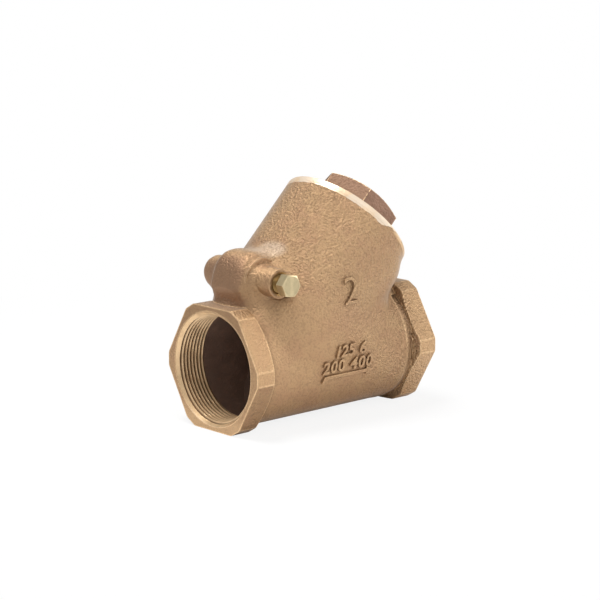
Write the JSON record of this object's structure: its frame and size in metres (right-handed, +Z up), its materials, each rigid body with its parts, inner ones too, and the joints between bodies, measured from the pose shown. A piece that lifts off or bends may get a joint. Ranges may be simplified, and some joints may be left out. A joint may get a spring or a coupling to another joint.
{
  "type": "swing check valve",
  "caption": "Y-pattern bronze swing check valve: screwed hexagon pipe ends, inclined neck with screwed hexagon cap, side-plugged hinge pin and a disc that swings up inside.",
  "frame": {"origin": "on the plane of the hexagon ends' lower flats, under the middle of the flow axis", "axes": "+X along the flow axis from inlet to outlet, +Z up on the neck's side, +Y away from the side with the hinge pin's plug"},
  "size_m": [0.132, 0.076, 0.1302],
  "materials": {
    "cast_bronze": "sand-cast, fine orange-peel grain",
    "cap_bronze": "sand-cast, darker and redder",
    "turned_bronze": "turned",
    "plug_brass": "drawn hexagon bar",
    "soft_ring": "smooth, white",
    "steel": "drawn stainless"
  },
  "bodies": {
    "valve_body": {"body": "cast_bronze", "cap": "cap_bronze", "hinge_pin": "steel", "pin_plug": "plug_brass"},
    "hanger": {"disc_hanger": "turned_bronze"},
    "disc": {"disc_holder": "turned_bronze", "seat_disc": "soft_ring", "retaining_washer": "turned_bronze", "retaining_nut": "turned_bronze", "hanger_washer": "turned_bronze", "hanger_nut": "turned_bronze", "split_pin": "steel"}
  },
  "joints": [
    {"name": "disc_swing", "type": "hinge", "parent": "valve_body", "child": "hanger", "pos_m": [-0.04147, 0, 0.08017], "axis": [0, -1, 0], "range_deg": [0, 49]},
    {"name": "disc_spin", "type": "hinge", "parent": "hanger", "child": "disc", "pos_m": [-0.01304, 0, 0.05896], "axis": [0.7071, 0, 0.7071], "continuous": true}
  ]
}
